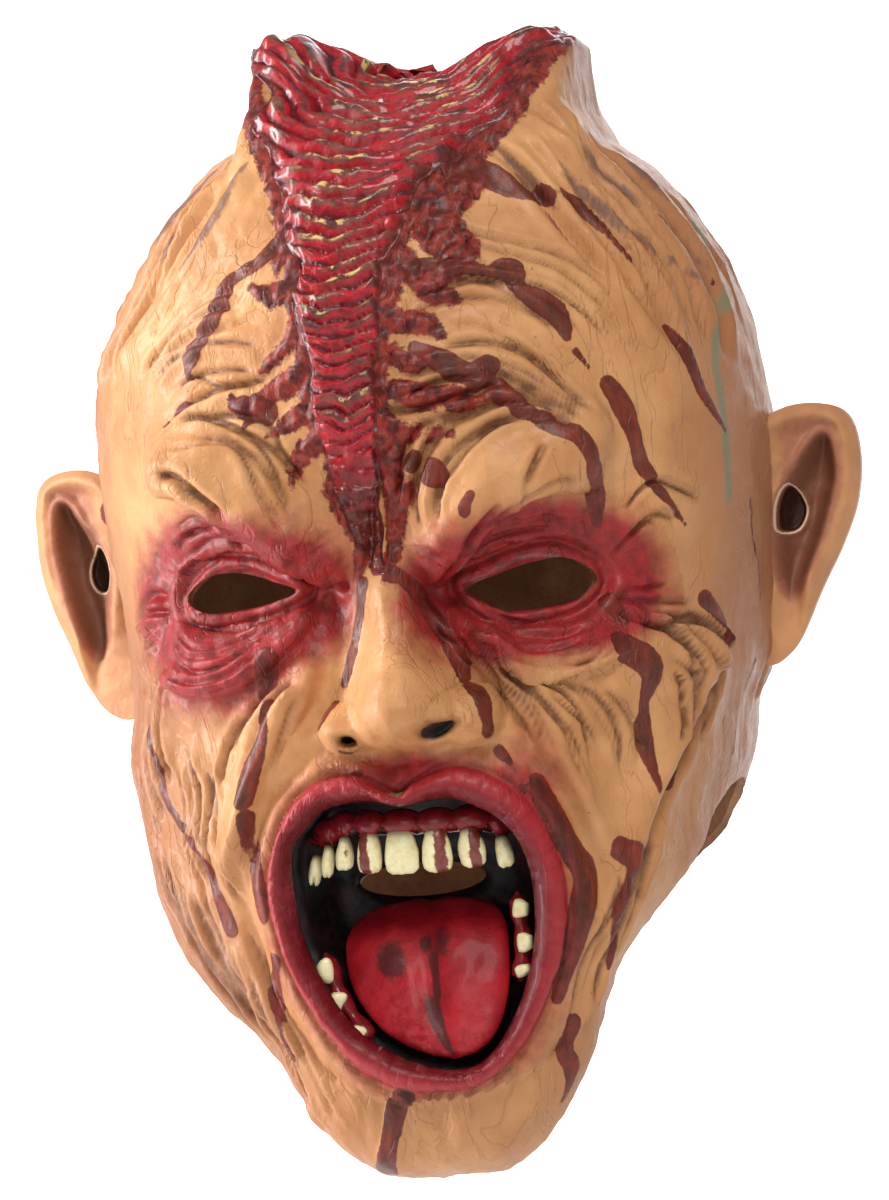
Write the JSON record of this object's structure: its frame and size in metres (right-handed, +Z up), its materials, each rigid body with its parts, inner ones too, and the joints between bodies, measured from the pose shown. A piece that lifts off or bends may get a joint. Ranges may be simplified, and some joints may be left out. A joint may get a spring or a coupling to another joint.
{
  "type": "latex halloween mask",
  "caption": "Full-head latex mask of a howling ghoul with a split crown, open mouth, tongue, teeth and two fold-back ears.",
  "frame": {"origin": "on the wearer's neck axis, level with the bottom of the chin", "axes": "+Z up to the crown, the face looks along -Y, +X is the wearer's left"},
  "size_m": [0.2606, 0.235, 0.3366],
  "materials": {
    "skin_latex": "satin",
    "flesh_latex": "gloss",
    "black_latex": "satin",
    "gum_latex": "gloss",
    "tooth_latex": "gloss",
    "tongue_latex": "gloss"
  },
  "bodies": {
    "root": {"head_skin": "skin_latex", "crest_wound": "flesh_latex", "mouth_liner": "black_latex", "upper_gum": "gum_latex", "lower_left_gum": "gum_latex", "lower_right_gum": "gum_latex", "upper_tooth_1": "tooth_latex", "upper_tooth_2": "tooth_latex", "upper_tooth_3": "tooth_latex", "upper_tooth_4": "tooth_latex", "upper_tooth_5": "tooth_latex", "upper_tooth_6": "tooth_latex", "upper_tooth_7": "tooth_latex", "upper_tooth_8": "tooth_latex", "lower_left_tooth_1": "tooth_latex", "lower_left_tooth_2": "tooth_latex", "lower_left_tooth_3": "tooth_latex", "lower_right_tooth_1": "tooth_latex", "lower_right_tooth_2": "tooth_latex", "lower_right_tooth_3": "tooth_latex"},
    "left_ear": {"left_ear": "skin_latex"},
    "right_ear": {"right_ear": "skin_latex"},
    "tongue": {"tongue": "tongue_latex"}
  },
  "joints": [
    {"name": "left_ear_fold", "type": "hinge", "parent": "root", "child": "left_ear", "pos_m": [0.104, 0.003, 0.176], "axis": [0, 0, 1], "range_deg": [-12, 20], "stiffness_Nm_per_rad": 0.02},
    {"name": "right_ear_fold", "type": "hinge", "parent": "root", "child": "right_ear", "pos_m": [-0.104, 0.003, 0.176], "axis": [0, 0, -1], "range_deg": [-12, 20], "stiffness_Nm_per_rad": 0.02},
    {"name": "tongue_lift", "type": "hinge", "parent": "root", "child": "tongue", "pos_m": [0, -0.0645, 0.0795], "axis": [-1, 0, 0], "range_deg": [0, 25], "stiffness_Nm_per_rad": 0.05}
  ]
}
